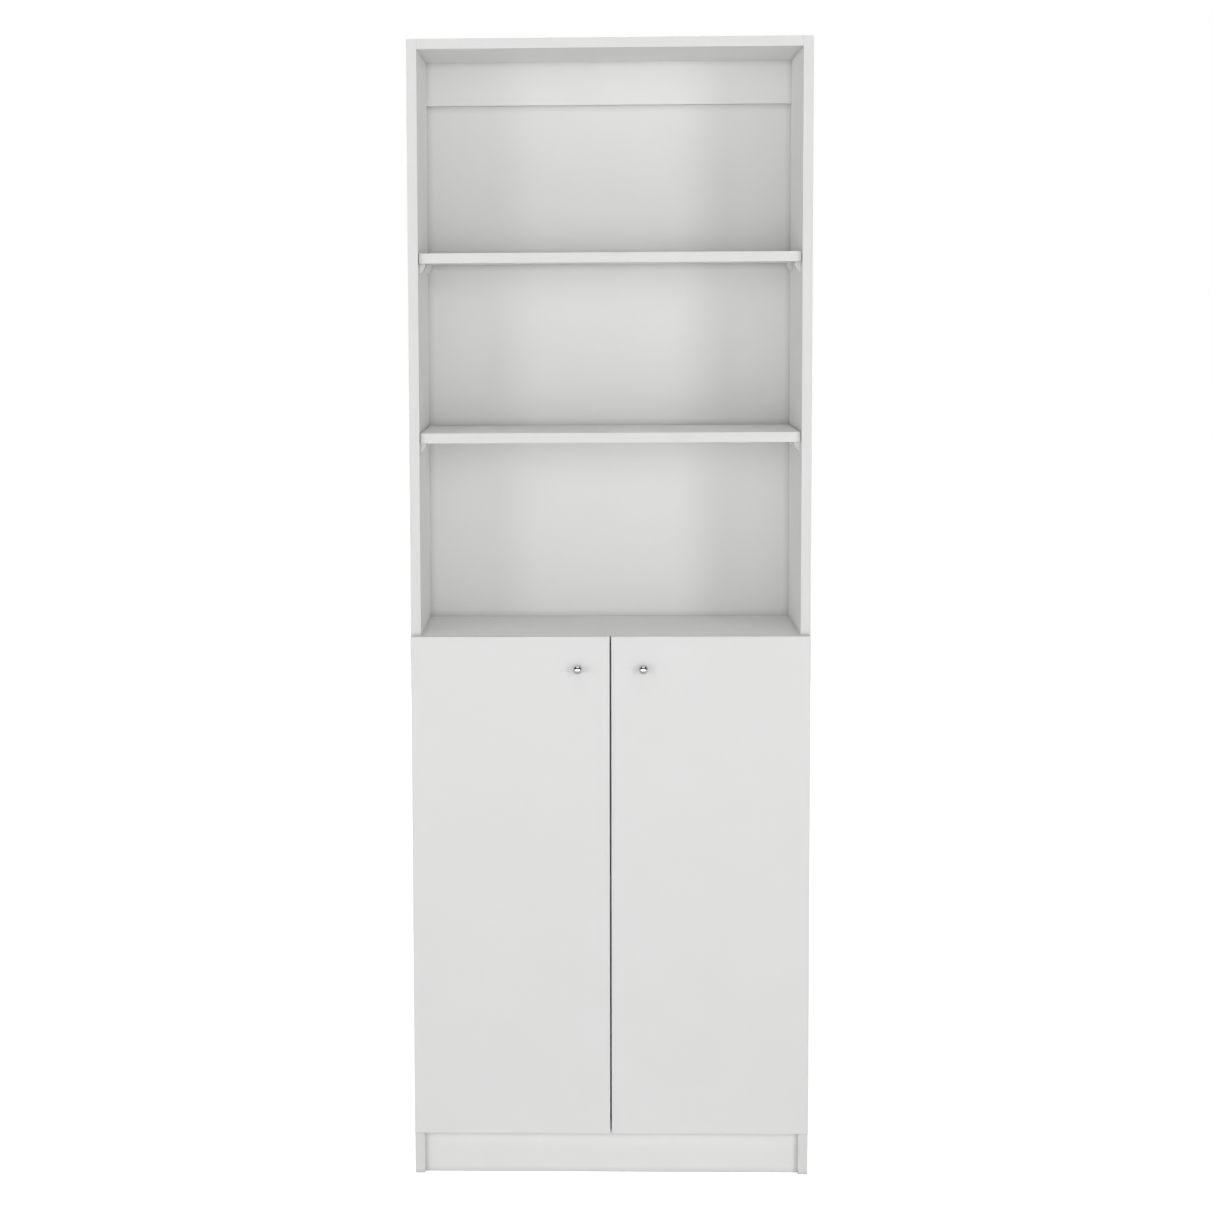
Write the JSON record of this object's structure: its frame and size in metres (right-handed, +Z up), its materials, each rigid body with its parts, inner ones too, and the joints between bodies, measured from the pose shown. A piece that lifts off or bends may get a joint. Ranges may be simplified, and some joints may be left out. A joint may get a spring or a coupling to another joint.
{
  "type": "pantry cabinet",
  "caption": "Tall narrow storage cabinet: open shelves above, a cupboard with hinged doors below, standing on its side panels and a recessed plinth.",
  "frame": {"origin": "on the floor, in the middle of the cabinet's width and of its overall depth from knob fronts to nail heads", "axes": "+Z up, +Y towards the back, +X to the right as seen from the front; the doors face -Y"},
  "size_m": [0.6, 0.3226, 1.716],
  "materials": {
    "carcass_board": "white melamine-faced particle board, satin",
    "shelf_board": "white melamine-faced particle board, satin",
    "door_board": "white melamine-faced particle board, satin",
    "hardboard": "white lacquered hardboard, satin face",
    "pin_plastic": "milky translucent plastic",
    "knob_chrome": "polished chrome",
    "hinge_nickel": "nickel-plated pressed steel",
    "screw_steel": "zinc-plated steel",
    "cam_zinc": "die-cast zinc",
    "beech": "fluted beech dowel, plain"
  },
  "bodies": {
    "carcass": {"side_panel_left": "carcass_board", "side_panel_right": "carcass_board", "top_panel": "carcass_board", "middle_panel": "carcass_board", "bottom_panel": "carcass_board", "plinth": "carcass_board", "back_rail": "carcass_board", "back_panel_upper": "hardboard", "back_panel_lower": "hardboard", "shelf_upper": "shelf_board", "shelf_lower": "shelf_board", "shelf_inner": "shelf_board", "shelf_pins_upper": "pin_plastic", "shelf_pins_lower": "pin_plastic", "shelf_pins_inner": "pin_plastic", "cam_locks": "cam_zinc", "cam_bolts": "screw_steel", "dowels": "beech", "back_nails": "screw_steel", "hinge_arms_left": "hinge_nickel", "hinge_arms_right": "hinge_nickel", "hinge_plates_left": "hinge_nickel", "hinge_plates_right": "hinge_nickel", "plate_screws_left": "screw_steel", "plate_screws_right": "screw_steel", "hinge_pins_left": "screw_steel", "hinge_pins_right": "screw_steel"},
    "door_left": {"door_left": "door_board", "knob_left": "knob_chrome", "knob_screw_left": "screw_steel", "hinge_cups_left": "hinge_nickel", "cup_screws_left": "screw_steel"},
    "hinge_links_left": {"hinge_links_left": "hinge_nickel"},
    "door_right": {"door_right": "door_board", "knob_right": "knob_chrome", "knob_screw_right": "screw_steel", "hinge_cups_right": "hinge_nickel", "cup_screws_right": "screw_steel"},
    "hinge_links_right": {"hinge_links_right": "hinge_nickel"}
  },
  "joints": [
    {"name": "door_left_hinge", "type": "hinge", "parent": "carcass", "child": "door_left", "pos_m": [-0.29575, -0.1318, 0.449], "axis": [0, 0, -1], "range_deg": [0, 110]},
    {"name": "door_right_hinge", "type": "hinge", "parent": "carcass", "child": "door_right", "pos_m": [0.29575, -0.1318, 0.449], "axis": [0, 0, 1], "range_deg": [0, 110]},
    {"name": "link_left_pivot", "type": "hinge", "parent": "carcass", "child": "hinge_links_left", "pos_m": [-0.276, -0.1253, 0.449], "axis": [0, 0, 1], "range_deg": [0, 29]},
    {"name": "link_right_pivot", "type": "hinge", "parent": "carcass", "child": "hinge_links_right", "pos_m": [0.276, -0.1253, 0.449], "axis": [0, 0, -1], "range_deg": [0, 29]}
  ],
  "couplings": [
    {"joint": "link_left_pivot", "follows": "door_left_hinge", "ratio": 0.26},
    {"joint": "link_right_pivot", "follows": "door_right_hinge", "ratio": 0.26}
  ]
}
